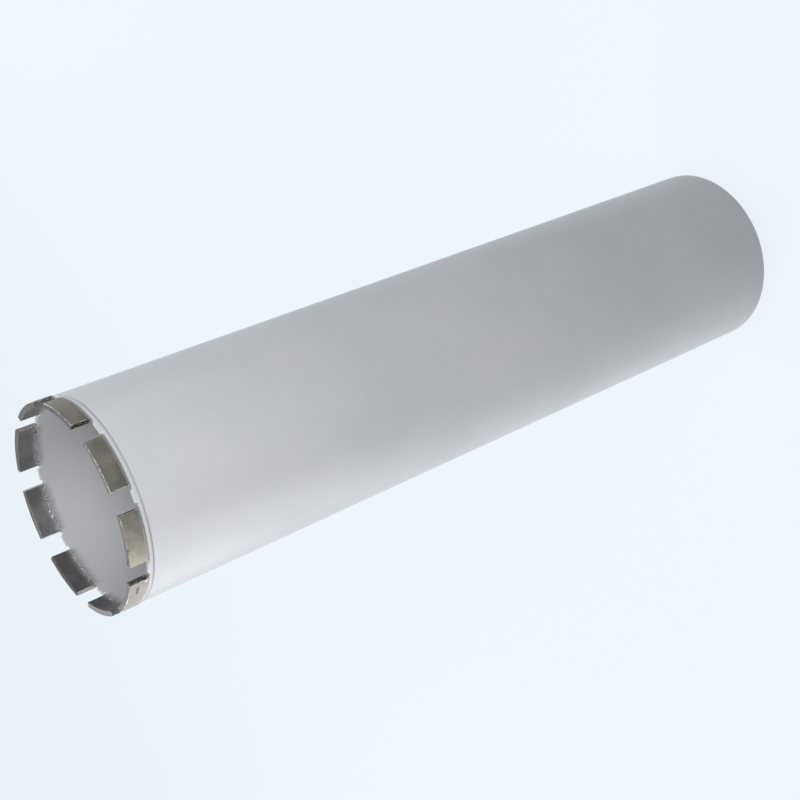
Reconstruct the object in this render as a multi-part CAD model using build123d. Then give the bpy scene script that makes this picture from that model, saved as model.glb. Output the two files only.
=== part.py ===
from build123d import *

import os
from math import degrees, sqrt

# Wet diamond core bit: a thin steel barrel with nine cutting segments brazed on its open end, and a threaded
# drive hub welded through a base plate at the other end.
# Frame: +Z is the bit's own axis and runs from the drive hub to the cutting crown. The origin is the centre
# of the hub's end face, on which the bit stands. Segment 1 is centred on +X, and the count runs towards +Y.
# All sizes are millimetres.

# Cutting crown
CUTTING_DIAMETER = 112.0
SEGMENT_COUNT = 9
SEGMENT_LENGTH = 27.6  # along the arc of the outer face
SEGMENT_THICKNESS = 3.0
SEGMENT_HEIGHT = 10.0
SEGMENT_TIP_CHAMFER = 0.3
SEGMENT_END_CHAMFER = 0.25
SIDE_CLEARANCE = 0.6  # how far a segment stands proud of the barrel's outside

# Barrel
BARREL_LENGTH = 460.0
BARREL_WALL = 2.0
BARREL_REAR_CHAMFER = 0.5
LAND_LENGTH = 3.2  # turned land under the crown
LAND_DEPTH = 0.1
LAND_GROOVE_WIDTH = 0.5
LAND_GROOVE_DEPTH = 0.25
NOTCH_RADIUS = 1.2  # relief notch in the rim at each end of a segment

# Braze seam under each segment
BRAZE_THICKNESS = 0.2
BRAZE_LEG = 0.9  # how far its bead and its fillet climb the walls
BRAZE_BEAD = 0.5  # how far the inner bead swells into the barrel

# Base plate
PLATE_THICKNESS = 12.0
PLATE_RECESS = 3.0  # from the barrel's rear rim to the plate's outer face
PLATE_CLEARANCE = 0.1  # radial, in the barrel and around the hub's spigot
PLATE_CHAMFER = 1.0

# Drive hub, with a 1 1/4 inch unified coarse thread of 7 turns to the inch
HUB_PROTRUSION = 30.0  # from the barrel's rear rim to the hub's end face
HUB_HEX = 41.0  # across the flats
HUB_HEX_LENGTH = 22.0
HUB_HEX_CHAMFER_RATIO = 0.5  # axial over radial size of the chamfer on the hexagon's corners
HUB_COLLAR_DIAMETER = 48.0
HUB_COLLAR_CHAMFER = 1.5
HUB_SPIGOT_DIAMETER = 39.0
HUB_SPIGOT_STAND = 2.0  # how far the spigot stands out of the plate, inside the barrel
THREAD_DIAMETER = 31.75  # major diameter
THREAD_PITCH = 25.4 / 7
THREAD_DEPTH_RATIO = 0.5413  # depth of a unified internal thread over its pitch
THREAD_MOUTH = 0.3  # how much wider than the major radius the countersinks open

# Weld beads
BASE_WELD_LEG = 2.6
HUB_WELD_LEG = 3.5
SPIGOT_WELD_LEG = 1.8

# Radii
segment_outer = CUTTING_DIAMETER / 2
segment_inner = segment_outer - SEGMENT_THICKNESS
barrel_outer = segment_outer - SIDE_CLEARANCE
barrel_inner = barrel_outer - BARREL_WALL
land_radius = barrel_outer - LAND_DEPTH
bead_radius = min(segment_inner, barrel_inner) - BRAZE_BEAD
plate_radius = barrel_inner - PLATE_CLEARANCE
collar_radius = HUB_COLLAR_DIAMETER / 2
spigot_radius = HUB_SPIGOT_DIAMETER / 2
plate_bore_radius = spigot_radius + PLATE_CLEARANCE
thread_minor_radius = THREAD_DIAMETER / 2 - THREAD_DEPTH_RATIO * THREAD_PITCH
countersink_radius = THREAD_DIAMETER / 2 + THREAD_MOUTH

# Heights, from the hub's end face up
barrel_rear = HUB_PROTRUSION
plate_outside = barrel_rear + PLATE_RECESS
plate_inside = plate_outside + PLATE_THICKNESS
hub_top = plate_inside + HUB_SPIGOT_STAND
barrel_rim = barrel_rear + BARREL_LENGTH
land_start = barrel_rim - LAND_LENGTH
segment_base = barrel_rim + BRAZE_THICKNESS
segment_tip = segment_base + SEGMENT_HEIGHT

# Angles around the axis, in degrees
segment_angle = degrees(SEGMENT_LENGTH / segment_outer)
segment_pitch = 360.0 / SEGMENT_COUNT
notch_angle = degrees(NOTCH_RADIUS / barrel_outer)


def turned(points, arc=360.0):
    """Revolves the closed outline through the (radius, height) points, evenly about +X."""
    outline = Plane.XZ * make_face(Polyline(*points, close=True))
    return Rot(0, 0, -arc / 2) * revolve(outline, Axis.Z, arc)


def around_crown(shape, index):
    """Places a copy of a shape, made on +X, at the segment with that index."""
    return Rot(0, 0, index * segment_pitch) * shape


def barrel():
    """The tube, with its turned land and the relief notches in its rim."""
    tube = turned(
        [
            (barrel_inner, barrel_rear + BARREL_REAR_CHAMFER),
            (barrel_inner + BARREL_REAR_CHAMFER, barrel_rear),
            (barrel_outer - BARREL_REAR_CHAMFER, barrel_rear),
            (barrel_outer, barrel_rear + BARREL_REAR_CHAMFER),
            (barrel_outer, land_start - LAND_GROOVE_WIDTH / 2),
            (barrel_outer - LAND_GROOVE_DEPTH, land_start),
            (land_radius, land_start + LAND_GROOVE_WIDTH / 2),
            (land_radius, barrel_rim),
            (barrel_inner, barrel_rim),
        ]
    )
    cutter = Plane.YZ * Cylinder(
        NOTCH_RADIUS,
        2 * barrel_outer,
        align=(Align.CENTER, Align.CENTER, Align.MIN),
    )
    notch_offset = segment_angle / 2 + notch_angle
    for index in range(SEGMENT_COUNT):
        for side in (-notch_offset, notch_offset):
            tube -= around_crown(Rot(0, 0, side) * Pos(0, 0, barrel_rim) * cutter, index)
    return tube


def cutting_segment():
    """One curved block of bonded diamond, centred on +X."""
    block = turned(
        [
            (segment_inner, segment_base),
            (segment_outer, segment_base),
            (segment_outer, segment_tip - SEGMENT_TIP_CHAMFER),
            (segment_outer - SEGMENT_TIP_CHAMFER, segment_tip),
            (segment_inner + SEGMENT_TIP_CHAMFER, segment_tip),
            (segment_inner, segment_tip - SEGMENT_TIP_CHAMFER),
        ],
        arc=segment_angle,
    )
    return chamfer(block.edges().filter_by(Axis.Z), SEGMENT_END_CHAMFER)


def braze_seam():
    """The braze metal under one segment: a thin layer with a bead inside and a fillet outside."""
    return turned(
        [
            (bead_radius, barrel_rim),
            (barrel_inner, barrel_rim - BRAZE_LEG),
            (barrel_inner, barrel_rim),
            (land_radius, barrel_rim),
            (land_radius, barrel_rim - BRAZE_LEG),
            (segment_outer, segment_base),
            (segment_inner, segment_base),
            (segment_inner, segment_base + BRAZE_LEG),
        ],
        arc=segment_angle,
    )


def base_plate():
    """The round plate in the barrel's rear end, chamfered outside for its weld."""
    return turned(
        [
            (plate_bore_radius, plate_outside),
            (plate_radius - PLATE_CHAMFER, plate_outside),
            (plate_radius, plate_outside + PLATE_CHAMFER),
            (plate_radius, plate_inside),
            (plate_bore_radius, plate_inside),
        ]
    )


def drive_hub():
    """Hexagon, collar and spigot, turned from one bar and bored right through for the thread."""
    hex_face = HUB_HEX / 2
    hex_corner = HUB_HEX / sqrt(3)
    chamfer_height = (hex_corner - hex_face) * HUB_HEX_CHAMFER_RATIO
    hexagon = extrude(RegularPolygon(hex_face, 6, major_radius=False), HUB_HEX_LENGTH)
    hexagon &= turned(
        [
            (0, 0),
            (hex_face, 0),
            (hex_corner, chamfer_height),
            (hex_corner, HUB_HEX_LENGTH),
            (0, HUB_HEX_LENGTH),
        ]
    )
    shoulder = turned(
        [
            (0, HUB_HEX_LENGTH),
            (collar_radius - HUB_COLLAR_CHAMFER, HUB_HEX_LENGTH),
            (collar_radius, HUB_HEX_LENGTH + HUB_COLLAR_CHAMFER),
            (collar_radius, plate_outside),
            (spigot_radius, plate_outside),
            (spigot_radius, hub_top),
            (0, hub_top),
        ]
    )
    countersink_depth = countersink_radius - thread_minor_radius
    bore = turned(
        [
            (0, 0),
            (countersink_radius, 0),
            (thread_minor_radius, countersink_depth),
            (thread_minor_radius, hub_top - countersink_depth),
            (countersink_radius, hub_top),
            (0, hub_top),
        ]
    )
    return hexagon + shoulder - bore


def base_weld():
    """The ring of weld that fills the plate's chamfer and climbs the barrel's wall in the recess."""
    return turned(
        [
            (barrel_inner - BASE_WELD_LEG, plate_outside),
            (barrel_inner, plate_outside - BASE_WELD_LEG),
            (barrel_inner, plate_outside + PLATE_CHAMFER),
            (plate_radius - PLATE_CHAMFER, plate_outside),
        ]
    )


def corner_weld(radius, height, leg, up):
    """A ring of weld outside a round wall, in its corner with the plate, on the side where up points."""
    return turned([(radius, height), (radius + leg, height), (radius, height + up * leg)])


def all_pieces():
    """Every piece of the bit, by its name."""
    pieces = {
        "barrel": barrel(),
        "base_plate": base_plate(),
        "drive_hub": drive_hub(),
        "base_weld": base_weld(),
        "hub_weld": corner_weld(collar_radius, plate_outside, HUB_WELD_LEG, up=-1),
        "spigot_weld": corner_weld(spigot_radius, plate_inside, SPIGOT_WELD_LEG, up=1),
    }
    segment = cutting_segment()
    seam = braze_seam()
    for index in range(SEGMENT_COUNT):
        pieces[f"segment_{index + 1}"] = around_crown(segment, index)
        pieces[f"braze_seam_{index + 1}"] = around_crown(seam, index)
    return pieces


os.makedirs("parts", exist_ok=True)
for name, piece in all_pieces().items():
    export_step(piece, f"parts/{name}.step")
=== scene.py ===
import math

import bmesh
import bpy
from mathutils import Matrix, Quaternion, Vector, noise


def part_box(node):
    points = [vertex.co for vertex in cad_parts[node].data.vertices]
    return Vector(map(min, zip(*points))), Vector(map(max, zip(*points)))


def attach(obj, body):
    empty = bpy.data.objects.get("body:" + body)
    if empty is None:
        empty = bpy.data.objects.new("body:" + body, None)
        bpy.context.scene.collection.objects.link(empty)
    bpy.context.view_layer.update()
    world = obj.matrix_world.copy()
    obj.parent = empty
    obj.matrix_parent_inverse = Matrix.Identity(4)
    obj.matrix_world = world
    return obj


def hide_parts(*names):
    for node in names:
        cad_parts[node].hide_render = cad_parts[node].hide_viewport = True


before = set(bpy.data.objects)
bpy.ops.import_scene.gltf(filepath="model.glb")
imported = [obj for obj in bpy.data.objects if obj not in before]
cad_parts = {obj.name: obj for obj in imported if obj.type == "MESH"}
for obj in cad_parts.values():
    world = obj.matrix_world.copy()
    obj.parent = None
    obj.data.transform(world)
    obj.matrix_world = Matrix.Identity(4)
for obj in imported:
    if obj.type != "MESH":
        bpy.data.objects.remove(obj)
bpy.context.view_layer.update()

mm = 0.001  # the frame is in metres
touching = 1e-6  # points nearer than this are taken as one

# Heights that the new pieces share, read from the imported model.
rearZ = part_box("barrel")[0].z
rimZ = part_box("barrel")[1].z
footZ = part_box("segment_1")[0].z
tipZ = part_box("segment_1")[1].z
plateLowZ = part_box("base_plate")[0].z
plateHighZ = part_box("base_plate")[1].z
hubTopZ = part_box("drive_hub")[1].z

# Sizes that more than one piece or material uses, as the real bit is made.
bit = {
    "segmentCount": 9,
    "segmentOuter": 56.0 * mm,
    "segmentInner": 53.0 * mm,
    "segmentArc": 27.6 * mm,  # along the outer face
    "barrelOuter": 55.4 * mm,
    "barrelInner": 53.4 * mm,
    "landRadius": 55.3 * mm,
    "landLength": 3.2 * mm,
    "notchRadius": 1.2 * mm,
    "collarRadius": 24.0 * mm,
    "spigotRadius": 19.5 * mm,
    "hexFlats": 41.0 * mm,
    "hexLength": 22.0 * mm,
}
pitchAngle = 2 * math.pi / bit["segmentCount"]
halfSegment = bit["segmentArc"] / bit["segmentOuter"] / 2
notchAngle = halfSegment + bit["notchRadius"] / bit["barrelOuter"]


def polar(co):
    return math.hypot(co.x, co.y), math.atan2(co.y, co.x)


def onCircle(radius, angle, z):
    return Vector((radius * math.cos(angle), radius * math.sin(angle), z))


def fadeStep(low, high, value):
    # 0 up to low, 1 from high on, and a soft rise between them.
    t = min(max((value - low) / (high - low), 0), 1)
    return t * t * (3 - 2 * t)


def spinProfile(bm, points, steps, turns=1, closed=False, rise=0.0):
    # The profile is a chain of (radius, height) points in the XZ plane, turned about Z.
    verts = [bm.verts.new((radius, 0, z)) for radius, z in points]
    edges = [bm.edges.new(pair) for pair in zip(verts, verts[1:])]
    if closed:
        edges.append(bm.edges.new((verts[-1], verts[0])))
    bmesh.ops.spin(
        bm,
        geom=verts + edges,
        cent=(0, 0, 0),
        axis=(0, 0, 1),
        dvec=(0, 0, rise / steps),
        angle=2 * math.pi * turns,
        steps=steps,
        use_merge=rise == 0,
        use_duplicate=False,
    )


def finishPiece(bm, name, node, material, smoothAngle=40):
    bmesh.ops.remove_doubles(bm, verts=bm.verts, dist=touching)
    bmesh.ops.dissolve_degenerate(bm, edges=bm.edges, dist=touching / 10)
    bmesh.ops.recalc_face_normals(bm, faces=bm.faces)
    if bm.calc_volume(signed=True) < 0:  # a thin curved piece can come out inside out
        bmesh.ops.reverse_faces(bm, faces=bm.faces)
    limit = math.radians(smoothAngle)
    for face in bm.faces:
        face.smooth = True
    for edge in bm.edges:
        edge.smooth = edge.is_manifold and edge.calc_face_angle(0) < limit
    mesh = bpy.data.meshes.new(name)
    bm.to_mesh(mesh)
    bm.free()
    mesh.materials.append(material)
    piece = bpy.data.objects.new(name, mesh)
    bpy.context.scene.collection.objects.link(piece)
    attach(piece, "root")
    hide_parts(node)


def hexToLinear(text):
    channels = [int(text[i:i + 2], 16) / 255 for i in (1, 3, 5)]
    linear = [c / 12.92 if c <= 0.04045 else ((c + 0.055) / 1.055) ** 2.4 for c in channels]
    return (*linear, 1)


def addNode(tree, kind, inputs=None, output=0, **settings):
    # Adds one node with its settings, fills or links its inputs, and gives back one of its outputs.
    # Inputs that share a name go by number. A MapRange has its value at 0, the range that comes in at 1 and 2, and
    # the one that goes out at 3 and 4. A Mix of colours has its share at 0 and the two colours at 6 and 7.
    node = tree.nodes.new("ShaderNode" + kind)
    for name, value in settings.items():
        setattr(node, name, value)
    for name, value in (inputs or {}).items():
        if isinstance(value, bpy.types.NodeSocket):
            tree.links.new(value, node.inputs[name])
        else:
            node.inputs[name].default_value = value
    return node.outputs[output] if node.outputs else node


def startMaterial(name):
    material = bpy.data.materials.new(name)
    material.use_nodes = True
    tree = material.node_tree
    tree.nodes.clear()
    return material, tree, addNode(tree, "TexCoord", output="Object")


def closeMaterial(tree, inputs):
    shader = addNode(tree, "BsdfPrincipled", inputs)
    addNode(tree, "OutputMaterial", {"Surface": shader})


def axisPlace(tree, place):
    # The radius and the height of a point.
    height = addNode(tree, "SeparateXYZ", {0: place}, "Z")
    flat = addNode(tree, "VectorMath", {0: place, 1: (1, 1, 0)}, operation="MULTIPLY")
    return addNode(tree, "VectorMath", {0: flat}, "Value", operation="LENGTH"), height


def segmentPlace(tree, place):
    # The angle in radians between a point and the middle of the nearest segment.
    x = addNode(tree, "SeparateXYZ", {0: place}, "X")
    angle = addNode(tree, "Math", {0: x.node.outputs["Y"], 1: x}, operation="ARCTAN2")
    local = addNode(tree, "Math", {0: angle, 1: pitchAngle / 2, 2: -pitchAngle / 2}, operation="WRAP")
    return addNode(tree, "Math", {0: local}, operation="ABSOLUTE")


# Matt silver spray enamel: fine aluminium flake in a dull binder. It is a soft light grey, a little cloudy where
# the coat is thicker, with a slight orange peel. Inside the tube it is drawn darker as painted shade, and darker
# still under each segment.
silverPaint = {
    "colour": "#C2C3C6",
    "cloudColour": "#BCBEC1",
    "insideShadeColour": "#B9BABD",  # painted shade: the inside of the tube is drawn darker
    "belowSegmentColour": "#787A7D",
    "burntColour": "#77746E",
    "grooveDustShadeColour": "#94969A",  # grinding dust in the turned groove, with painted shade
    "notchShadeColour": "#57544F",  # painted shade in the notches
    "metallic": 0.15,
    "roughness": 0.46,
    "roughSpread": 0.03,
    "sparkle": 0.03,  # how much lighter and darker the flakes are
    "cloudSize": 60.0 * mm,
    "flakeSize": 0.9 * mm,  # real flakes are under 0.1 mm: drawn coarse enough to show
    "peelSize": 2.5 * mm,
    "peelDepth": 0.01 * mm,
    "outsideRadius": 54.8 * mm,  # between these two, within the wall, the outer coat turns into the inner one
    "insideRadius": 54.0 * mm,
    "belowSegmentShare": 0.7,
    "belowSegmentReach": 5.5 * mm,  # how far below the rim the darkening reaches inside
    "belowSegmentFull": 0.4 * mm,  # and how far at full strength
    "belowSegmentWander": 0.6 * mm,  # raggedness of its lower edge
    "belowSegmentPast": 0.02,  # radians past a segment's end at which it has faded out
    "belowSegmentWithin": 0.04,  # and before that end at which it starts to fade
    "burntReach": 1.3 * mm,  # how far below the rim it reached outside
    "grooveHalf": 0.42 * mm,  # half the width of the dark line of dust and painted shade
    "notchShadeReach": 0.14 * mm,  # how far the painted shade spreads round a notch
    "notchShadeFull": 0.08 * mm,  # and how far at full strength
    "notchShadeShare": 0.9,
}


def makeSilverPaint():
    values = silverPaint
    material, tree, place = startMaterial("matt_silver_enamel")
    cloud = addNode(tree, "TexNoise", {"Vector": place, "Scale": 1 / values["cloudSize"], "Detail": 3})
    flake = addNode(tree, "TexNoise", {"Vector": place, "Scale": 1 / values["flakeSize"], "Detail": 1})
    peel = addNode(tree, "TexNoise", {"Vector": place, "Scale": 1 / values["peelSize"], "Detail": 2})
    radius, height = axisPlace(tree, place)
    fromMiddle = segmentPlace(tree, place)
    inside = {0: radius, 1: values["outsideRadius"], 2: values["insideRadius"]}
    inside = addNode(tree, "MapRange", inside)
    outside = addNode(tree, "Math", {0: 1.0, 1: inside}, operation="SUBTRACT")
    # The inside is darker under each segment, down to a ragged edge.
    wander = {0: peel, 1: 0.3, 2: 0.7, 3: -values["belowSegmentWander"], 4: values["belowSegmentWander"]}
    wander = addNode(tree, "MapRange", wander)
    ragged = addNode(tree, "Math", {0: height, 1: wander}, operation="ADD")
    belowSegment = {0: ragged, 1: rimZ - values["belowSegmentReach"], 2: rimZ - values["belowSegmentFull"]}
    belowSegment = addNode(tree, "MapRange", belowSegment, interpolation_type="SMOOTHSTEP")
    under = {0: fromMiddle, 1: halfSegment + values["belowSegmentPast"], 2: halfSegment - values["belowSegmentWithin"]}
    under = addNode(tree, "MapRange", under, interpolation_type="SMOOTHSTEP")
    for factor in (under, inside, values["belowSegmentShare"]):
        belowSegment = addNode(tree, "Math", {0: belowSegment, 1: factor}, operation="MULTIPLY")
    # A fine line of dust and painted shade darkens the groove behind the land.
    groove = addNode(tree, "Math", {0: height, 1: rimZ - bit["landLength"]}, operation="SUBTRACT")
    groove = addNode(tree, "Math", {0: groove}, operation="ABSOLUTE")
    groove = {0: groove, 1: values["grooveHalf"], 2: 0.6 * values["grooveHalf"]}
    groove = addNode(tree, "MapRange", groove)
    groove = addNode(tree, "Math", {0: groove, 1: outside}, operation="MULTIPLY")
    # Outside, the rim is browned beside the braze.
    burnt = addNode(tree, "MapRange", {0: height, 1: rimZ - values["burntReach"], 2: footZ})
    for factor in (under, outside):
        burnt = addNode(tree, "Math", {0: burnt, 1: factor}, operation="MULTIPLY")
    # Painted shade darkens the half of each notch that is nearer to the segment.
    across = addNode(tree, "Math", {0: fromMiddle, 1: notchAngle}, operation="SUBTRACT")
    across = addNode(tree, "Math", {0: across, 1: bit["barrelOuter"]}, operation="MULTIPLY")
    below = addNode(tree, "Math", {0: height, 1: rimZ}, operation="SUBTRACT")
    fromNotch = addNode(tree, "CombineXYZ", {"X": across, "Y": below})
    fromNotch = addNode(tree, "VectorMath", {0: fromNotch}, "Value", operation="LENGTH")
    edge = bit["notchRadius"]
    notchShade = {0: fromNotch, 1: edge + values["notchShadeReach"], 2: edge + values["notchShadeFull"]}
    notchShade = addNode(tree, "MapRange", notchShade)
    nearer = addNode(tree, "MapRange", {0: across, 1: 0, 2: -0.9 * edge, 3: 0, 4: values["notchShadeShare"]})
    notchShade = addNode(tree, "Math", {0: notchShade, 1: nearer}, operation="MULTIPLY")
    patchy = addNode(tree, "MapRange", {0: cloud, 1: 0.35, 2: 0.65})
    tone = hexToLinear(values["colour"])
    layers = (
        (patchy, "cloudColour"),
        (inside, "insideShadeColour"),
        (belowSegment, "belowSegmentColour"),
        (groove, "grooveDustShadeColour"),
        (burnt, "burntColour"),
        (notchShade, "notchShadeColour"),
    )
    for share, colour in layers:
        tone = {0: share, 6: tone, 7: hexToLinear(values[colour])}
        tone = addNode(tree, "Mix", tone, 2, data_type="RGBA")
    dark, light = 1 - values["sparkle"], 1 + values["sparkle"]
    sparkle = addNode(tree, "MapRange", {0: flake, 1: 0.3, 2: 0.7, 3: dark, 4: light})
    tone = addNode(tree, "VectorMath", {0: tone, "Scale": sparkle}, operation="SCALE")
    rough, spread = values["roughness"], values["roughSpread"]
    rough = addNode(tree, "MapRange", {0: peel, 1: 0.3, 2: 0.7, 3: rough - spread, 4: rough + spread})
    bump = addNode(tree, "Bump", {"Height": peel, "Distance": values["peelDepth"]})
    inputs = {"Base Color": tone, "Metallic": values["metallic"], "Roughness": rough, "Normal": bump}
    closeMaterial(tree, inputs)
    return material


# Sintered metal bond: pressed metal powder with diamond grit. The outer faces are ground to a warm grey with a
# cloudy sheen, the inner ones are a colder and darker grey, the unground ends are almost black and full of grit,
# and the edges of the tip are rubbed bright and carry a painted highlight; a few crystals carry painted glints.
# The enamel has drifted over the foot of each block.
sinteredBond = {
    "outerColour": "#7E776D",
    "outerPatch": "#605E56",
    "innerColour": "#7A797A",
    "innerPatch": "#6B6A6B",
    "tipColour": "#7E7A77",
    "endColour": "#231F1D",
    "gritAndGlintColour": "#B9B1A4",
    "pitColour": "#35312E",
    "rubbedHighlightColour": "#BDB9B4",
    "driftColour": "#C2C3C6",
    "metallic": 0.7,
    "driftMetallic": 0.15,
    "roughness": 0.4,
    "patchSize": 12.0 * mm,
    "gritSize": 0.6 * mm,  # diamond grit of about 0.4 mm, drawn slightly coarser
    "gritDepth": 0.06 * mm,
    "pitSize": 1.8 * mm,
    "pitDepth": 0.1 * mm,
    "warpSize": 1.1 * mm,  # the pits' outlines are bent at this size
    "warpDepth": 2 * mm,
    "crumbSize": 1.4 * mm,  # the rubbed edges are broken, and the glints grouped, at this size
    "dullFrom": 3 * mm,  # height above the foot from which the inner faces darken
    "dullShare": 0.25,
    "endPitsFrom": 5 * mm,  # how far from a raw end the pits begin
    "endPitsFull": 1.5 * mm,  # and where they are at their thickest
    "rubbedHighlightWidth": 0.22 * mm,  # width of the rubbed line along the tip, drawn light as a painted highlight
    "outerDrift": 0.7 * mm,  # how far the enamel's drift climbs the block
    "innerDrift": 2.6 * mm,
    "driftWander": 0.4 * mm,
}


def makeSinteredBond():
    values = sinteredBond
    material, tree, place = startMaterial("sintered_diamond_bond")
    patches = addNode(tree, "TexNoise", {"Vector": place, "Scale": 1 / values["patchSize"], "Detail": 3})
    grain = addNode(tree, "TexNoise", {"Vector": place, "Scale": 1 / values["gritSize"], "Detail": 2})
    crumbs = addNode(tree, "TexNoise", {"Vector": place, "Scale": 1 / values["crumbSize"], "Detail": 2})
    grit = addNode(tree, "TexVoronoi", {"Vector": place, "Scale": 1 / values["gritSize"]}, "Distance")
    warp = addNode(tree, "TexNoise", {"Vector": place, "Scale": 1 / values["warpSize"]}, "Color")
    warp = {0: warp, 1: [values["warpDepth"]] * 3, 2: place}
    warp = addNode(tree, "VectorMath", warp, operation="MULTIPLY_ADD")
    pits = addNode(tree, "TexVoronoi", {"Vector": warp, "Scale": 1 / values["pitSize"]}, "Distance")
    shadeRawnessChips = addNode(tree, "Attribute", output="Vector", attribute_name="shadeRawnessChips")
    shade = addNode(tree, "SeparateXYZ", {0: shadeRawnessChips}, "X")
    rawness, chipped = shade.node.outputs["Y"], shade.node.outputs["Z"]
    radius, height = axisPlace(tree, place)
    # Which of its faces a point is on, from the way that it looks.
    normal = addNode(tree, "NewGeometry", output="Normal")
    outward = addNode(tree, "VectorMath", {0: place, 1: (1, 1, 0)}, operation="MULTIPLY")
    outward = addNode(tree, "VectorMath", {0: outward}, operation="NORMALIZE")
    facing = addNode(tree, "VectorMath", {0: normal, 1: outward}, "Value", operation="DOT_PRODUCT")
    upward = addNode(tree, "SeparateXYZ", {0: normal}, "Z")
    outer = addNode(tree, "MapRange", {0: facing, 1: 0.3, 2: 0.7})
    inner = addNode(tree, "MapRange", {0: facing, 1: -0.3, 2: -0.7})
    tip = addNode(tree, "MapRange", {0: upward, 1: 0.5, 2: 0.9})
    cloudy = addNode(tree, "MapRange", {0: patches, 1: 0.36, 2: 0.64})
    warm = {0: cloudy, 6: hexToLinear(values["outerPatch"]), 7: hexToLinear(values["outerColour"])}
    warm = addNode(tree, "Mix", warm, 2, data_type="RGBA")
    cold = {0: cloudy, 6: hexToLinear(values["innerPatch"]), 7: hexToLinear(values["innerColour"])}
    cold = addNode(tree, "Mix", cold, 2, data_type="RGBA")
    speckled = addNode(tree, "MapRange", {0: grain, 1: 0.53, 2: 0.62, 3: 0, 4: 0.85})
    raw = {0: speckled, 6: hexToLinear(values["endColour"]), 7: hexToLinear(values["gritAndGlintColour"])}
    raw = addNode(tree, "Mix", raw, 2, data_type="RGBA")
    tone = cold
    tipTone = hexToLinear(values["tipColour"])
    for share, colour in ((rawness, raw), (outer, warm), (inner, cold), (tip, tipTone)):
        tone = addNode(tree, "Mix", {0: share, 6: tone, 7: colour}, 2, data_type="RGBA")
    # The inner faces are darker towards the tip.
    duller = {0: height, 1: footZ + values["dullFrom"], 2: tipZ, 3: 0, 4: -values["dullShare"]}
    duller = addNode(tree, "MapRange", duller)
    duller = addNode(tree, "Math", {0: duller, 1: inner, 2: 1.0}, operation="MULTIPLY_ADD")
    # Each block's lightness, partly its own tone and partly painted light and shade, scales its colour.
    shade = addNode(tree, "Math", {0: shade, 1: duller}, operation="MULTIPLY")
    tone = addNode(tree, "VectorMath", {0: tone, "Scale": shade}, operation="SCALE")
    # How far a point is from the outer face, the tip and the nearer end.
    reach = bit["segmentOuter"]
    fromOuter = addNode(tree, "Math", {0: reach, 1: radius}, operation="SUBTRACT")
    fromTip = addNode(tree, "Math", {0: tipZ, 1: height}, operation="SUBTRACT")
    fromEnd = {0: segmentPlace(tree, place), 1: -reach, 2: halfSegment * reach}
    fromEnd = addNode(tree, "Math", fromEnd, operation="MULTIPLY_ADD")
    # Broken-out grit leaves small dark pits in loose groups, most beside raw ends, and a few larger chips.
    grouped = addNode(tree, "MapRange", {0: patches, 1: 0.5, 2: 0.62, 3: 0, 4: 0.17})
    grouped = addNode(tree, "Math", {0: tip, 1: 0.14, 2: grouped}, operation="MULTIPLY_ADD")
    besideEnd = {0: fromEnd, 1: values["endPitsFrom"], 2: values["endPitsFull"], 3: 0, 4: 0.2}
    besideEnd = addNode(tree, "MapRange", besideEnd)
    grouped = addNode(tree, "Math", {0: besideEnd, 1: rawness, 2: grouped}, operation="MULTIPLY_ADD")
    pitted = addNode(tree, "Math", {0: grouped, 1: pits}, operation="SUBTRACT")
    pitted = addNode(tree, "MapRange", {0: pitted, 1: 0, 2: 0.05, 3: 0, 4: 0.7})
    pitted = addNode(tree, "Math", {0: pitted, 1: chipped}, operation="MAXIMUM")
    # Whole crystals show in other groups, drawn light as painted glints.
    glints = addNode(tree, "MapRange", {0: patches, 1: 0.46, 2: 0.36, 3: -0.1, 4: 0.1})
    glints = addNode(tree, "Math", {0: crumbs, 1: 0.5, 2: glints}, operation="MULTIPLY_ADD")
    for less in (0.15, grit):
        glints = addNode(tree, "Math", {0: glints, 1: less}, operation="SUBTRACT")
    glints = addNode(tree, "MapRange", {0: glints, 1: 0, 2: 0.06, 3: 0, 4: 0.6})
    # Rubbed edges, drawn light as a painted highlight: where the outer face meets the tip and the ends, broken
    # where the grain crumbled.
    fromEdge = addNode(tree, "Math", {0: fromTip, 1: fromEnd}, operation="MINIMUM")
    fromEdge = addNode(tree, "Math", {0: fromOuter, 1: fromEdge}, operation="MAXIMUM")
    rubbedHighlight = {0: fromEdge, 1: 1.3 * values["rubbedHighlightWidth"], 2: values["rubbedHighlightWidth"]}
    rubbedHighlight = addNode(tree, "MapRange", rubbedHighlight)
    unbroken = addNode(tree, "MapRange", {0: crumbs, 1: 0.44, 2: 0.56})
    rubbedHighlight = addNode(tree, "Math", {0: rubbedHighlight, 1: unbroken}, operation="MULTIPLY")
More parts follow.
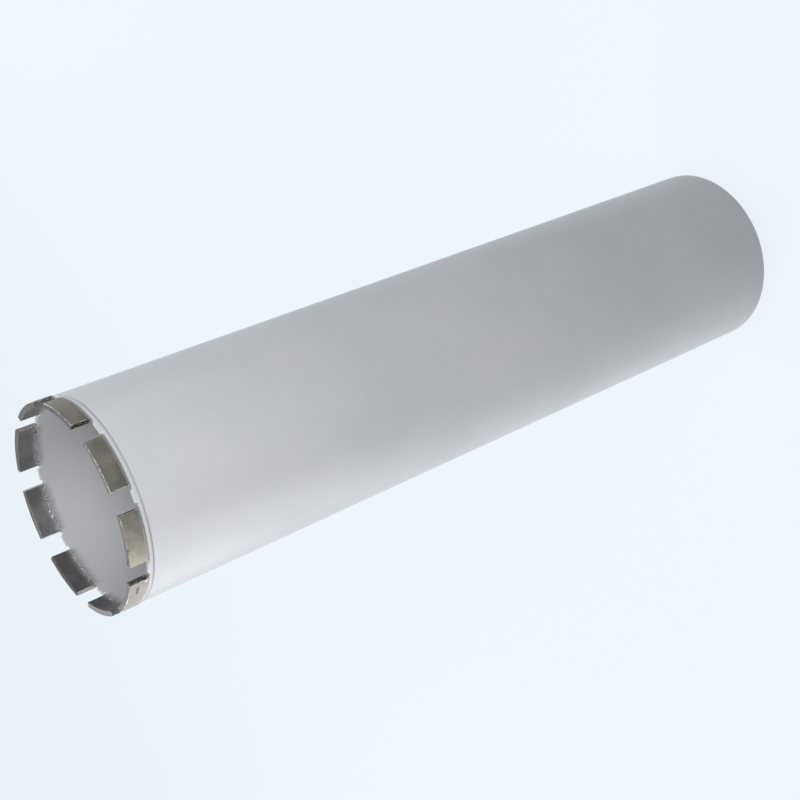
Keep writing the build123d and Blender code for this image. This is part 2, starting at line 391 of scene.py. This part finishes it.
    # The enamel's drift has a ragged upper edge, low outside and higher inside.
    wander = {0: grain, 1: 0.3, 2: 0.7, 3: -values["driftWander"], 4: values["driftWander"]}
    wander = addNode(tree, "MapRange", wander)
    ragged = addNode(tree, "Math", {0: height, 1: wander}, operation="ADD")
    outerDrift = {0: ragged, 1: footZ + values["outerDrift"], 2: footZ, 3: 0, 4: 0.3}
    outerDrift = addNode(tree, "MapRange", outerDrift)
    innerDrift = {0: ragged, 1: footZ + values["innerDrift"], 2: footZ, 3: 0, 4: 0.35}
    innerDrift = addNode(tree, "MapRange", innerDrift)
    drift = addNode(tree, "Mix", {0: inner, 2: outerDrift, 3: innerDrift}, 0, data_type="FLOAT")
    drops = addNode(tree, "MapRange", {0: chipped, 1: -0.2, 2: -0.7})
    drift = addNode(tree, "Math", {0: drift, 1: drops}, operation="MAXIMUM")
    layers = ((pitted, "pitColour"), (glints, "gritAndGlintColour"), (rubbedHighlight, "rubbedHighlightColour"), (drift, "driftColour"))
    for share, colour in layers:
        tone = {0: share, 6: tone, 7: hexToLinear(values[colour])}
        tone = addNode(tree, "Mix", tone, 2, data_type="RGBA")
    metallic = {0: drift, 3: values["metallic"], 4: values["driftMetallic"]}
    metallic = addNode(tree, "MapRange", metallic)
    rough = values["roughness"]
    rough = addNode(tree, "MapRange", {0: patches, 1: 0.3, 2: 0.7, 3: rough - 0.05, 4: rough + 0.08})
    bump = addNode(tree, "Bump", {"Height": pits, "Distance": values["pitDepth"], "Strength": 0.5})
    bump = {"Height": grit, "Distance": values["gritDepth"], "Strength": 0.7, "Normal": bump}
    bump = addNode(tree, "Bump", bump)
    inputs = {"Base Color": tone, "Metallic": metallic, "Roughness": rough, "Normal": bump}
    closeMaterial(tree, inputs)
    return material


# Braze metal: silver solder that froze in small lumps. The enamel has run over its outer fillet and fades out
# towards the segment; inside it is a dull oxide grey with dark pores, a painted highlight on a few lump tops
# and painted shade in the hollows between them.
brazeMetal = {
    "enamelColour": "#C2C3C6",
    "bareColour": "#77746E",
    "dullColour": "#7A7B7C",
    "lumpHighlightColour": "#D6D8DA",
    "poreShadeColour": "#38393B",
    "metallic": 0.25,
    "roughness": 0.5,
    "lumpSize": 1.2 * mm,
    "lumpDepth": 0.08 * mm,
    "insideRadius": 53.8 * mm,  # between these two, within the joint, the bead turns into the coated fillet
    "outsideRadius": 54.6 * mm,
    "dustAbove": 0.5 * mm,  # the bead is dusted with enamel from here above the foot
    "dustBelow": 0.7 * mm,  # and hidden by it from here below the rim
    "coatBelow": 1.3 * mm,  # the fillet is fully coated from here below the rim
    "coatWander": 0.3 * mm,
}


def makeBrazeMetal():
    values = brazeMetal
    material, tree, place = startMaterial("frozen_silver_braze")
    lumps = addNode(tree, "TexNoise", {"Vector": place, "Scale": 1 / values["lumpSize"], "Detail": 3})
    radius, height = axisPlace(tree, place)
    # Towards the wall the bead takes the enamel's colour: partly overspray, partly painted light that lifts the
    # bead's downward-facing lower part out of its shade.
    dustedAndLit = {0: height, 1: footZ + values["dustAbove"], 2: rimZ - values["dustBelow"]}
    dustedAndLit = addNode(tree, "MapRange", dustedAndLit)
    # A painted highlight on the tops of the lumps, and painted shade with the pores in their hollows.
    lumpHighlight = addNode(tree, "MapRange", {0: lumps, 1: 0.58, 2: 0.63})
    poresAndShade = addNode(tree, "MapRange", {0: lumps, 1: 0.44, 2: 0.39})
    tone = hexToLinear(values["dullColour"])
    for share, colour in ((dustedAndLit, "enamelColour"), (lumpHighlight, "lumpHighlightColour"), (poresAndShade, "poreShadeColour")):
        tone = {0: share, 6: tone, 7: hexToLinear(values[colour])}
        tone = addNode(tree, "Mix", tone, 2, data_type="RGBA")
    wander = {0: lumps, 1: 0.35, 2: 0.65, 3: -values["coatWander"], 4: values["coatWander"]}
    wander = addNode(tree, "MapRange", wander)
    ragged = addNode(tree, "Math", {0: height, 1: wander}, operation="ADD")
    covered = addNode(tree, "MapRange", {0: ragged, 1: footZ, 2: rimZ - values["coatBelow"]})
    coat = {0: covered, 6: hexToLinear(values["bareColour"]), 7: hexToLinear(values["enamelColour"])}
    coat = addNode(tree, "Mix", coat, 2, data_type="RGBA")
    outside = {0: radius, 1: values["insideRadius"], 2: values["outsideRadius"]}
    outside = addNode(tree, "MapRange", outside)
    tone = addNode(tree, "Mix", {0: outside, 6: tone, 7: coat}, 2, data_type="RGBA")
    rough = values["roughness"]
    rough = addNode(tree, "MapRange", {0: lumps, 1: 0.3, 2: 0.7, 3: rough + 0.08, 4: rough - 0.08})
    bump = addNode(tree, "Bump", {"Height": lumps, "Distance": values["lumpDepth"], "Strength": 0.6})
    inputs = {"Base Color": tone, "Metallic": values["metallic"], "Roughness": rough, "Normal": bump}
    closeMaterial(tree, inputs)
    return material


# Turned mild steel: a satin grey with fine rings left by the lathe tool, and faint stains of cutting oil.
turnedSteel = {
    "colour": "#9C9B98",
    "stainColour": "#8C8A86",
    "metallic": 0.95,
    "roughness": 0.36,
    "stainSize": 14.0 * mm,
    "ringPitch": 0.5 * mm,  # the tool's feed is about 0.2 mm: drawn coarse enough to show
    "ringDepth": 0.0018 * mm,
    "ringFade": 0.1 * mm,  # over which the rings stop beside the flats
}


def makeTurnedSteel():
    values = turnedSteel
    material, tree, place = startMaterial("turned_mild_steel")
    stain = addNode(tree, "TexNoise", {"Vector": place, "Scale": 1 / values["stainSize"], "Detail": 4})
    patchy = addNode(tree, "MapRange", {0: stain, 1: 0.4, 2: 0.65})
    tone = {0: patchy, 6: hexToLinear(values["colour"]), 7: hexToLinear(values["stainColour"])}
    tone = addNode(tree, "Mix", tone, 2, data_type="RGBA")
    rough = values["roughness"]
    rough = addNode(tree, "MapRange", {0: stain, 1: 0.3, 2: 0.7, 3: rough - 0.05, 4: rough + 0.08})
    radius, height = axisPlace(tree, place)
    rings = addNode(tree, "Math", {0: radius, 1: height}, operation="ADD")
    rings = {0: rings, 1: 2 * math.pi / values["ringPitch"]}
    rings = addNode(tree, "Math", rings, operation="MULTIPLY")
    rings = addNode(tree, "Math", {0: rings}, operation="SINE")
    # The hexagon's flats are milled, so they carry no rings.
    flatRadius, fade, hexTop = bit["hexFlats"] / 2, values["ringFade"], bit["hexLength"]
    flats = addNode(tree, "MapRange", {0: radius, 1: flatRadius - 3 * fade, 2: flatRadius - fade})
    above = addNode(tree, "MapRange", {0: height, 1: fade, 2: 2 * fade})
    below = addNode(tree, "MapRange", {0: height, 1: hexTop + fade, 2: hexTop})
    for factor in (above, below):
        flats = addNode(tree, "Math", {0: flats, 1: factor}, operation="MULTIPLY")
    turned = addNode(tree, "MapRange", {0: flats, 3: 1, 4: 0})
    bump = {"Height": rings, "Distance": values["ringDepth"], "Strength": turned}
    bump = addNode(tree, "Bump", bump)
    inputs = {"Base Color": tone, "Metallic": values["metallic"], "Roughness": rough, "Normal": bump}
    closeMaterial(tree, inputs)
    return material


paint = makeSilverPaint()
bond = makeSinteredBond()
braze = makeBrazeMetal()
steel = makeTurnedSteel()
print("materials made")


barrel = {
    "steps": 1440,  # 0.24 mm along the rim, so that the notches are round
    "grooveHalf": 0.25 * mm,
    "grooveDepth": 0.25 * mm,
    "rearChamfer": 0.5 * mm,
    "rimRound": 0.12 * mm,
    "rimBand": 1.5 * mm,  # below the rim; only what is above it follows the rim's notches and wander
    "innerRow": 6 * mm,  # below the rim; a row inside, which keeps the rim's shading off the rest of the tube
    "rimWander": 0.12 * mm,  # unevenness left by deburring the rim by hand
    "rimWanderCount": 30,  # its waves to one radius of the barrel
}


def rimDip(angle):
    # How far the rim lies under its highest line: the half-round notch at each end of a segment.
    values = barrel
    local = abs(angle - pitchAngle * round(angle / pitchAngle))
    if local < halfSegment:
        return 0.0
    across = (local - notchAngle) * bit["barrelOuter"]
    notch = math.sqrt(max(bit["notchRadius"] ** 2 - across ** 2, 0))
    wander = 0.5 + 0.5 * noise.noise(onCircle(1, angle, 0) * values["rimWanderCount"])
    return notch + values["rimWander"] * wander


def makeBarrel():
    values = barrel
    outer, inner, land = bit["barrelOuter"], bit["barrelInner"], bit["landRadius"]
    rearChamfer, rimRound = values["rearChamfer"], values["rimRound"]
    landZ, groove = rimZ - bit["landLength"], values["grooveHalf"]
    bandZ = rimZ - values["rimBand"]
    profile = [
        (inner, rearZ + rearChamfer),
        (inner + rearChamfer, rearZ),
        (outer - rearChamfer, rearZ),
        (outer, rearZ + rearChamfer),
        (outer, landZ - groove),
        (outer - values["grooveDepth"], landZ),
        (land, landZ + groove),
        (land, bandZ),
        (land, rimZ - rimRound),
        (land - rimRound, rimZ),
        (inner + rimRound, rimZ),
        (inner, rimZ - rimRound),
        (inner, bandZ),
        (inner, rimZ - values["innerRow"]),
    ]
    bm = bmesh.new()
    spinProfile(bm, profile, values["steps"], closed=True)
    for vert in bm.verts:
        if vert.co.z > bandZ + touching:
            vert.co.z -= rimDip(polar(vert.co)[1])
    finishPiece(bm, "barrel_tube", "barrel", paint)


segment = {
    "cutsAlong": 58,
    "cutsUp": 22,
    "cutsThrough": 6,
    "edgeRound": 0.3 * mm,
    "edgeRow": 0.12 * mm,  # a close row beside each edge keeps its break narrow and even
    "pitSize": 1.1 * mm,
    "pitDepth": 0.07 * mm,
    "groundShare": 0.35,  # how deep the pits of the ground faces are, beside the tip's and the ends'
    "waveSize": 7 * mm,
    "waveDepth": 0.06 * mm,
    "crumbleSize": 0.9 * mm,
    "edgeBreak": 0.2 * mm,  # crumbling of the tip's edges
    "footBand": 1 * mm,  # the wear fades out over this height, so that the block sits flat on its braze
    "seed": (7.3, 3.1, 1.7),  # times the block's index: each block has a pattern of its own
    # How light each block is at its first and its last end and on its tip, partly its own tone and partly painted
    # light and shade, and how raw its two ends are.
    "blocks": (
        (0.72, 0.95, 0.98, 0.7, 0.7),
        (0.62, 0.84, 0.6, 1.0, 0.7),
        (0.95, 1.15, 0.62, 0.4, 0.7),
        (1.2, 1.3, 0.54, 0.35, 0.7),
        (1.3, 1.2, 0.48, 0.3, 0.7),
        (0.95, 0.75, 0.36, 0.7, 0.2),
        (0.62, 0.72, 1.4, 0.7, 0.5),
        (1.5, 1.05, 1.05, 0.7, 0.8),
        (1.5, 1.0, 0.87, 0.7, 1.0),
    ),
    # Chips in the outer face: segment, place along its arc, height above its foot, half length, half width and
    # depth. The last one has a negative depth: it is a drop of enamel.
    "chips": (
        (8, 7.3 * mm, 5.2 * mm, 2.3 * mm, 0.65 * mm, 0.15 * mm),
        (9, -3.9 * mm, 10.0 * mm, 0.2 * mm, 0.6 * mm, 0.35 * mm),
        (8, 12.6 * mm, 1.0 * mm, 0.2 * mm, 0.8 * mm, -0.12 * mm),
    ),
}


def chipAt(number, arc, height):
    # How deep a chip is at a point of the outer face, and how far it colours that point. Its edge is soft.
    for block, middle, up, halfLength, halfWidth, depth in segment["chips"]:
        away = math.hypot(max(abs(arc - middle) - halfLength, 0), height - up) / halfWidth
        share = 1 - fadeStep(0.5, 1.3, away)
        if block == number and share > 0:
            return share * depth, math.copysign(share, depth)
    return 0, 0


def makeSegment(index):
    values = segment
    outer, inner = bit["segmentOuter"], bit["segmentInner"]
    size = Vector((outer - inner, bit["segmentArc"], tipZ - footZ))
    middle = Vector(((outer + inner) / 2, 0, (footZ + tipZ) / 2))
    bm = bmesh.new()
    shadeRawnessChips = bm.verts.layers.float_vector.new("shadeRawnessChips")  # for the material: lightness (partly painted light and shade), rawness, chips
    bmesh.ops.create_cube(bm, size=1, matrix=Matrix.Diagonal((*size, 1)))
    for axis, cuts in ((1, values["cutsAlong"]), (2, values["cutsUp"]), (0, values["cutsThrough"])):
        along = [e for e in bm.edges if abs((e.verts[0].co - e.verts[1].co).normalized()[axis]) > 0.9]
        bmesh.ops.subdivide_edges(bm, edges=along, cuts=cuts, use_grid_fill=True)
    half = size / 2
    rounding = values["edgeRound"]
    for axis in range(3):
        for side in (-1, 1):
            for inset in (values["edgeRow"], rounding):
                point, normal = Vector((0, 0, 0)), Vector((0, 0, 0))
                point[axis] = side * (half[axis] - inset)
                normal[axis] = 1
                bmesh.ops.bisect_plane(
                    bm,
                    geom=bm.verts[:] + bm.edges[:] + bm.faces[:],
                    dist=touching,
                    plane_co=point,
                    plane_no=normal,
                )
    # The break: each point is drawn onto a box with rounded edges, and the foot stays square.
    for vert in bm.verts:
        core = Vector(
            (
                max(min(vert.co.x, half.x - rounding), rounding - half.x),
                max(min(vert.co.y, half.y - rounding), rounding - half.y),
                max(min(vert.co.z, half.z - rounding), -half.z),
            )
        )
        away = vert.co - core
        if away.length > 0:
            vert.co = core + away.normalized() * min(rounding, away.length)
    bm.normal_update()
    # Pits where grit broke out, deeper on the tip and the ends, which nothing grinds smooth.
    seed = Vector([part * index for part in values["seed"]])
    first, last, tipShade, firstRaw, lastRaw = values["blocks"][index]
    for vert in bm.verts:
        normal = vert.normal
        rough = 1.0 if abs(normal.x) < 0.5 else values["groundShare"]
        spot = noise.noise(vert.co / values["pitSize"] + seed)
        wave = noise.noise(vert.co / values["waveSize"] + seed)
        crumble = max(noise.noise(vert.co / values["crumbleSize"] - seed), 0)
        crumble *= fadeStep(0.2, 0.5, min(abs(normal.x), normal.z))
        depth = values["pitDepth"] * rough * max(spot, 0) * 2 + values["waveDepth"] * (0.5 + 0.5 * wave)
        depth += 2 * values["edgeBreak"] * crumble
        onOuter = normal.x > 0.3
        chipDepth, chipped = chipAt(index + 1, vert.co.y, vert.co.z + half.z) if onOuter else (0, 0)
        depth += chipDepth
        shade = first + (last - first) * (vert.co.y / size.y + 0.5)
        shade += (1 - shade) * fadeStep(0.5, 0.9, abs(normal.y))
        shade += (tipShade - shade) * fadeStep(0.5, 0.9, normal.z)
        vert[shadeRawnessChips] = (shade, firstRaw if vert.co.y < 0 else lastRaw, chipped)
        vert.co -= normal * depth * fadeStep(-half.z, -half.z + values["footBand"], vert.co.z)
    # Bent round the axis: x is the radius and y the arc of the outer face.
    turn = pitchAngle * index
    for vert in bm.verts:
        place = vert.co + middle
        vert.co = onCircle(place.x, place.y / outer + turn, place.z)
    name = f"segment_{index + 1}"
    finishPiece(bm, f"bond_{name}", name, bond, smoothAngle=50)


seam = {
    "steps": 90,
    "leg": 0.9 * mm,  # how far the bead and the fillet climb the walls
    "bead": 0.5 * mm,
    "beadRows": 9,
    "filletDip": 0.2 * mm,  # how far its middle lies below the rim
    "soaked": 0.25 * mm,  # how far the braze is sunk into the block's inner face
    "endGap": 0.3 * mm,  # how far the braze on that face stops short of the block's ends
    "lumpSize": 1.7 * mm,
    "smallLumpSize": 0.7 * mm,
    "flattest": 0.12,  # what is left of the bead between two lumps
}


def makeSeam(index):
    values = seam
    outer, inner = bit["segmentOuter"], bit["segmentInner"]
    wall, land, leg, rows = bit["barrelInner"], bit["landRadius"], values["leg"], values["beadRows"]
    low, high = rimZ - leg, footZ + leg
    profile = [(wall + (inner - wall) * i / rows, low + (high - low) * i / rows) for i in range(rows + 1)]
    profile += [
        (inner + values["soaked"], high),
        (inner + values["soaked"], footZ),
        (outer, footZ),
        (land + 0.5 * (outer - land), rimZ - values["filletDip"]),
        (land, rimZ - leg),
        (land, rimZ),
        (wall, rimZ),
    ]
    bm = bmesh.new()
    verts = [bm.verts.new((radius, 0, z)) for radius, z in profile]
    face = bm.faces.new(verts)
    bmesh.ops.spin(
        bm,
        geom=[face] + face.edges[:] + verts,
        cent=(0, 0, 0),
        axis=(0, 0, 1),
        angle=2 * halfSegment,
        steps=values["steps"],
        use_merge=False,
        use_duplicate=False,
    )
    # The bead swells out of the flush face in single lumps, and shrinks to almost nothing between them.
    turn = pitchAngle * index - halfSegment
    for vert in bm.verts:
        radius, angle = polar(vert.co)
        place = onCircle(radius, angle + turn, vert.co.z)
        up = (vert.co.z - low) / (high - low)
        if abs(radius - wall - (inner - wall) * up) < touching:
            lump = noise.noise(place / values["lumpSize"]) + 0.4 * noise.noise(place / values["smallLumpSize"])
            swell = values["flattest"] + (1 - values["flattest"]) * fadeStep(0.05, 0.42, lump)
            radius -= swell * values["bead"] * math.sin(math.pi * up)
        if vert.co.z > footZ + touching:
            angle += (halfSegment - angle) * values["endGap"] / (halfSegment * outer)
        vert.co = onCircle(radius, angle + turn, vert.co.z)
    name = f"braze_seam_{index + 1}"
    finishPiece(bm, f"bead_{name}", name, braze, smoothAngle=60)


weld = {
    "steps": 1440,
    "rows": 8,  # across the bead's open face
    "baseLeg": 2.6 * mm,
    "hubLeg": 3.5 * mm,
    "spigotLeg": 1.8 * mm,
    "swell": 0.1,  # how far the face bulges, as a share of the leg
    "throat": 0.8,  # how thick the bead is, as a share of the leg
    "rippleFrom": 0.6,  # share of that thickness at which the ripples start
    "rippleFull": 0.95,
    "rippleLength": 1.9 * mm,  # from one ripple to the next
    "rippleDepth": 0.14 * mm,
    "rippleWander": 0.6,  # unevenness of their spacing, in ripples
    "wanderSize": 5 * mm,
}


def makeWeld(name, node, radius, z, leg, outward, upward):
    values = weld
    corner = Vector((radius, 0, z))
    alongPlate, alongWall = Vector((outward, 0, 0)), Vector((0, 0, upward))
    bm = bmesh.new()
    profile = [corner]
    for i in range(values["rows"] + 1):
        t = i / values["rows"]
        point = corner + alongPlate * leg * (1 - t) + alongWall * leg * t
        swell = values["swell"] * leg * 4 * t * (1 - t)
        profile.append(point + (alongPlate + alongWall).normalized() * swell)
    spinProfile(bm, [(p.x, p.z) for p in profile], values["steps"], closed=True)
    facing = Vector((outward, 0, upward)).normalized()
    for vert in bm.verts:
        far, angle = polar(vert.co)
        out = (Vector((far, 0, vert.co.z)) - corner).dot(facing) / (leg * values["throat"])
        if out > values["rippleFrom"]:  # only the open face is rippled
            bow = (abs(far - radius) - abs(vert.co.z - z)) / leg  # each ripple is bowed like a row of coins
            phase = (angle * radius - 0.5 * leg * bow * bow) / values["rippleLength"]
            phase += values["rippleWander"] * noise.noise(onCircle(far, angle, 0) / values["wanderSize"])
            ripple = 0.5 + 0.5 * math.cos(2 * math.pi * phase)
            depth = values["rippleDepth"] * ripple * fadeStep(values["rippleFrom"], values["rippleFull"], out)
            vert.co = onCircle(far - outward * depth, angle, vert.co.z - upward * depth)
    finishPiece(bm, name, node, paint, smoothAngle=60)


hub = {
    "steps": 144,
    "hexChamferRatio": 0.5,  # height over width of the chamfer on the hexagon's corners
    "collarChamfer": 1.5 * mm,
    "threadMajor": 15.875 * mm,
    "threadMinor": 13.911 * mm,
    "threadPitch": 25.4 / 7 * mm,  # 7 turns to the inch
    "threadRows": 3,  # on each flank, crest and root
    "mouthRadius": 16.175 * mm,  # of the countersinks
}


def hexRadius(angle):
    sixth = math.pi / 3
    local = (angle + sixth / 2) % sixth - sixth / 2
    return bit["hexFlats"] / 2 / math.cos(sixth / 2 - abs(local))


def makeOutside(bm):
    # The hub is spun round, and its lower part is then drawn onto the hexagon.
    values = hub
    face, corner = bit["hexFlats"] / 2, bit["hexFlats"] / math.sqrt(3)
    hexTop, mouth = bit["hexLength"], values["mouthRadius"]
    collar, spigot = bit["collarRadius"], bit["spigotRadius"]
    shoulder = collar - values["collarChamfer"]
    profile = [
        (mouth, 0),
        (face, 0),
        (corner, (corner - face) * values["hexChamferRatio"]),
        (corner, hexTop),
        (shoulder, hexTop),
        (collar, hexTop + values["collarChamfer"]),
        (collar, plateLowZ),
        (spigot, plateLowZ),
        (spigot, hubTopZ),
        (mouth, hubTopZ),
    ]
    spinProfile(bm, profile, values["steps"])
    for vert in bm.verts:
        radius, angle = polar(vert.co)
        if radius < face + touching or vert.co.z > hexTop + touching:
            continue
        if vert.co.z < hexTop - touching:  # where the turned chamfer meets the flats
            height = (hexRadius(angle) - face) * values["hexChamferRatio"]
            vert.co = onCircle(hexRadius(angle), angle, height)
        else:  # the hexagon's corners run out into the collar's chamfer
            rise = max(hexRadius(angle) - shoulder, 0)
            onHexagon = radius > corner - touching
            radius = hexRadius(angle) if onHexagon else max(shoulder, hexRadius(angle))
            vert.co = onCircle(radius, angle, hexTop + rise)


def makeThread():
    # One pitch of thread, wound up the bore: crest a quarter of the pitch wide, root an eighth.
    values = hub
    pitch, rows, top = values["threadPitch"], values["threadRows"], hubTopZ
    minor, deep = values["threadMinor"], values["threadMajor"] - values["threadMinor"]
    crest, flank = pitch / 4, pitch * 5 / 16
    wave = [(0, 0), (crest, 0), (crest + flank, 1), (crest + flank + pitch / 8, 1), (pitch, 0)]
    points = []
    for (z0, f0), (z1, f1) in zip(wave, wave[1:]):
        for i in range(rows):
            points.append((minor + (f0 + (f1 - f0) * i / rows) * deep, z0 + (z1 - z0) * i / rows))
    points.append((minor, pitch))
    turns = math.ceil(top / pitch) + 2
    thread = bmesh.new()
    spinProfile(thread, points, values["steps"] * turns, turns=turns, rise=pitch * turns)
    bmesh.ops.translate(thread, verts=thread.verts, vec=(0, 0, -1.5 * pitch))
    bmesh.ops.remove_doubles(thread, verts=thread.verts, dist=touching)
    for vert in thread.verts:  # cut off level at both ends, and opened by the countersinks
        radius, angle = polar(vert.co)
        z = min(max(vert.co.z, 0), top)
        cone = values["mouthRadius"] - min(z, top - z)
        vert.co = onCircle(max(radius, cone), angle, z)
    bmesh.ops.remove_doubles(thread, verts=thread.verts, dist=touching)
    return thread


def makeHub():
    bm = bmesh.new()
    makeOutside(bm)
    thread = makeThread()
    threadMesh = bpy.data.meshes.new("threadScratch")
    thread.to_mesh(threadMesh)
    thread.free()
    bm.from_mesh(threadMesh)
    bpy.data.meshes.remove(threadMesh)
    finishPiece(bm, "threaded_hub", "drive_hub", steel, smoothAngle=30)


makeBarrel()
print("barrel made")
for index in range(bit["segmentCount"]):
    makeSegment(index)
    makeSeam(index)
print("crown made")
makeWeld("weld_plate_ring", "base_weld", bit["barrelInner"], plateLowZ, weld["baseLeg"], -1, -1)
makeWeld("weld_collar_ring", "hub_weld", bit["collarRadius"], plateLowZ, weld["hubLeg"], 1, -1)
makeWeld("weld_spigot_ring", "spigot_weld", bit["spigotRadius"], plateHighZ, weld["spigotLeg"], 1, 1)
makeHub()
print("hub and welds made")

# The base plate's solid is right as it is, so it only gets the enamel.
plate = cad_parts["base_plate"]
plate.data.materials.clear()
plate.data.materials.append(paint)


cameraValues = {
    "place": Vector((0.6573, -0.1716, 0.7526)),
    "back": Vector((0.80654, -0.19512, 0.55805)),  # from what it looks at to the camera
    "roll": -112.615,  # degrees
    "lens": 64.91,
    "sensor": 36.0,
}


def makeCamera():
    values = cameraValues
    data = bpy.data.cameras.new("camera")
    data.lens = values["lens"]
    data.sensor_width = values["sensor"]
    camera = bpy.data.objects.new("camera", data)
    bpy.context.scene.collection.objects.link(camera)
    turn = values["back"].to_track_quat("Z", "Y") @ Quaternion((0, 0, 1), math.radians(values["roll"]))
    camera.matrix_world = Matrix.LocRotScale(values["place"], turn, None)
    bpy.context.scene.camera = camera


studio = {
    "paper": "#EEF6FD",
    "paperStrength": 1.012,  # near the bit, to make up for its shadow
    "lightColour": "#F4F4F6",
    "worldStrength": 0.17,
    "floorSize": 14.0,
    "floorShade": 0.08,  # how much of the floor is lit paper; the rest keeps it as pale as the backdrop
    "bounceColour": "#828488",  # what the floor sends back on to the bit
    "nearRadius": 1.5,  # from here out the floor turns into plain backdrop
    "farMargin": 1.0,  # until this far from its edge
    "lowLamp": 0.5,  # a lamp below this height would burn a spot into the floor, so it spares it
}

lamps = {
    # name: (azimuth in degrees, distance from the axis, height, height aimed at, width, length, watts)
    "keyOverCrown": (-14, 0.55, 0.85, 0.42, 0.4, 0.4, 4.35),
    "fillOverCrown": (30, 0.5, 0.85, 0.42, 0.4, 0.4, 0.8),
    "stripFarRight": (120, 1.3, 0.75, 0.3, 0.4, 1.4, 8.4),
    "stripFarLeft": (-140, 1.3, 0.75, 0.3, 0.4, 1.4, 12.7),
    "stripLeft": (-80, 1.3, 0.75, 0.3, 0.4, 1.4, 1.0),
    "lowWideLeft": (-105, 0.85, 0.12, 0.2, 1.2, 0.3, 3.8),
    "lowRight": (65, 1.2, 0.35, 0.15, 0.5, 0.5, 2.2),
}


def makeLamps(floor):
    for name, (azimuth, distance, height, aimHeight, width, length, watts) in lamps.items():
        data = bpy.data.lights.new(name, "AREA")
        data.shape = "RECTANGLE"
        data.size, data.size_y = width, length
        data.energy = watts
        lamp = bpy.data.objects.new(name, data)
        lamp.location = onCircle(distance, math.radians(azimuth), height)
        aim = Vector((0, 0, aimHeight)) - lamp.location
        lamp.rotation_euler = aim.to_track_quat("-Z", "Y").to_euler()
        lamp.visible_camera = False
        bpy.context.scene.collection.objects.link(lamp)
        if height < studio["lowLamp"]:
            spared = bpy.data.collections.new(f"{name}Spares")
            spared.objects.link(floor)
            lamp.light_linking.receiver_collection = spared
            spared.collection_objects[0].light_linking.link_state = "EXCLUDE"


def seenDirectly(tree):
    # 1 for rays from the camera, and for those that gloss and glass send on.
    seen = addNode(tree, "LightPath", output="Is Camera Ray")
    paths = seen.node.outputs
    for kind in ("Is Glossy Ray", "Is Transmission Ray"):
        seen = addNode(tree, "Math", {0: seen, 1: paths[kind]}, operation="MAXIMUM")
    return seen


def makeWorld():
    values = studio
    world = bpy.data.worlds.new("studio")
    world.use_nodes = True
    tree = world.node_tree
    tree.nodes.clear()
    seen = seenDirectly(tree)
    colour = {0: seen, 6: hexToLinear(values["lightColour"]), 7: hexToLinear(values["paper"])}
    colour = addNode(tree, "Mix", colour, 2, data_type="RGBA")
    strength = addNode(tree, "MapRange", {0: seen, 3: values["worldStrength"], 4: 1})
    sky = addNode(tree, "Background", {"Color": colour, "Strength": strength})
    addNode(tree, "OutputWorld", {"Surface": sky})
    bpy.context.scene.world = world


def makePaper():
    values = studio
    material, tree, place = startMaterial("paper_floor")
    seen, paper = seenDirectly(tree), hexToLinear(values["paper"])
    colour = {0: seen, 6: hexToLinear(values["bounceColour"]), 7: paper}
    colour = addNode(tree, "Mix", colour, 2, data_type="RGBA")
    lit = addNode(tree, "BsdfDiffuse", {"Color": colour})
    # Far from the bit the floor is the backdrop's own colour, so that no horizon shows.
    away = addNode(tree, "VectorMath", {0: place}, "Value", operation="LENGTH")
    farRadius = values["floorSize"] / 2 - values["farMargin"]
    strength = {0: away, 1: values["nearRadius"], 2: farRadius, 3: values["paperStrength"], 4: 1}
    pale = {"Color": paper, "Strength": addNode(tree, "MapRange", strength)}
    pale = addNode(tree, "Emission", pale)
    share = addNode(tree, "MapRange", strength | {3: 1 - values["floorShade"]})
    share = addNode(tree, "Math", {0: seen, 1: share}, operation="MULTIPLY")
    mixed = addNode(tree, "MixShader", {0: share, 1: lit, 2: pale})
    addNode(tree, "OutputMaterial", {"Surface": mixed})
    return material


def makeFloor():
    bm = bmesh.new()
    bmesh.ops.create_grid(bm, x_segments=1, y_segments=1, size=studio["floorSize"] / 2)
    mesh = bpy.data.meshes.new("floor")
    bm.to_mesh(mesh)
    bm.free()
    mesh.materials.append(makePaper())
    floor = bpy.data.objects.new("floor", mesh)
    bpy.context.scene.collection.objects.link(floor)
    return floor


makeCamera()
makeWorld()
makeLamps(makeFloor())
bpy.context.scene.view_settings.view_transform = "Standard"
print("studio made")
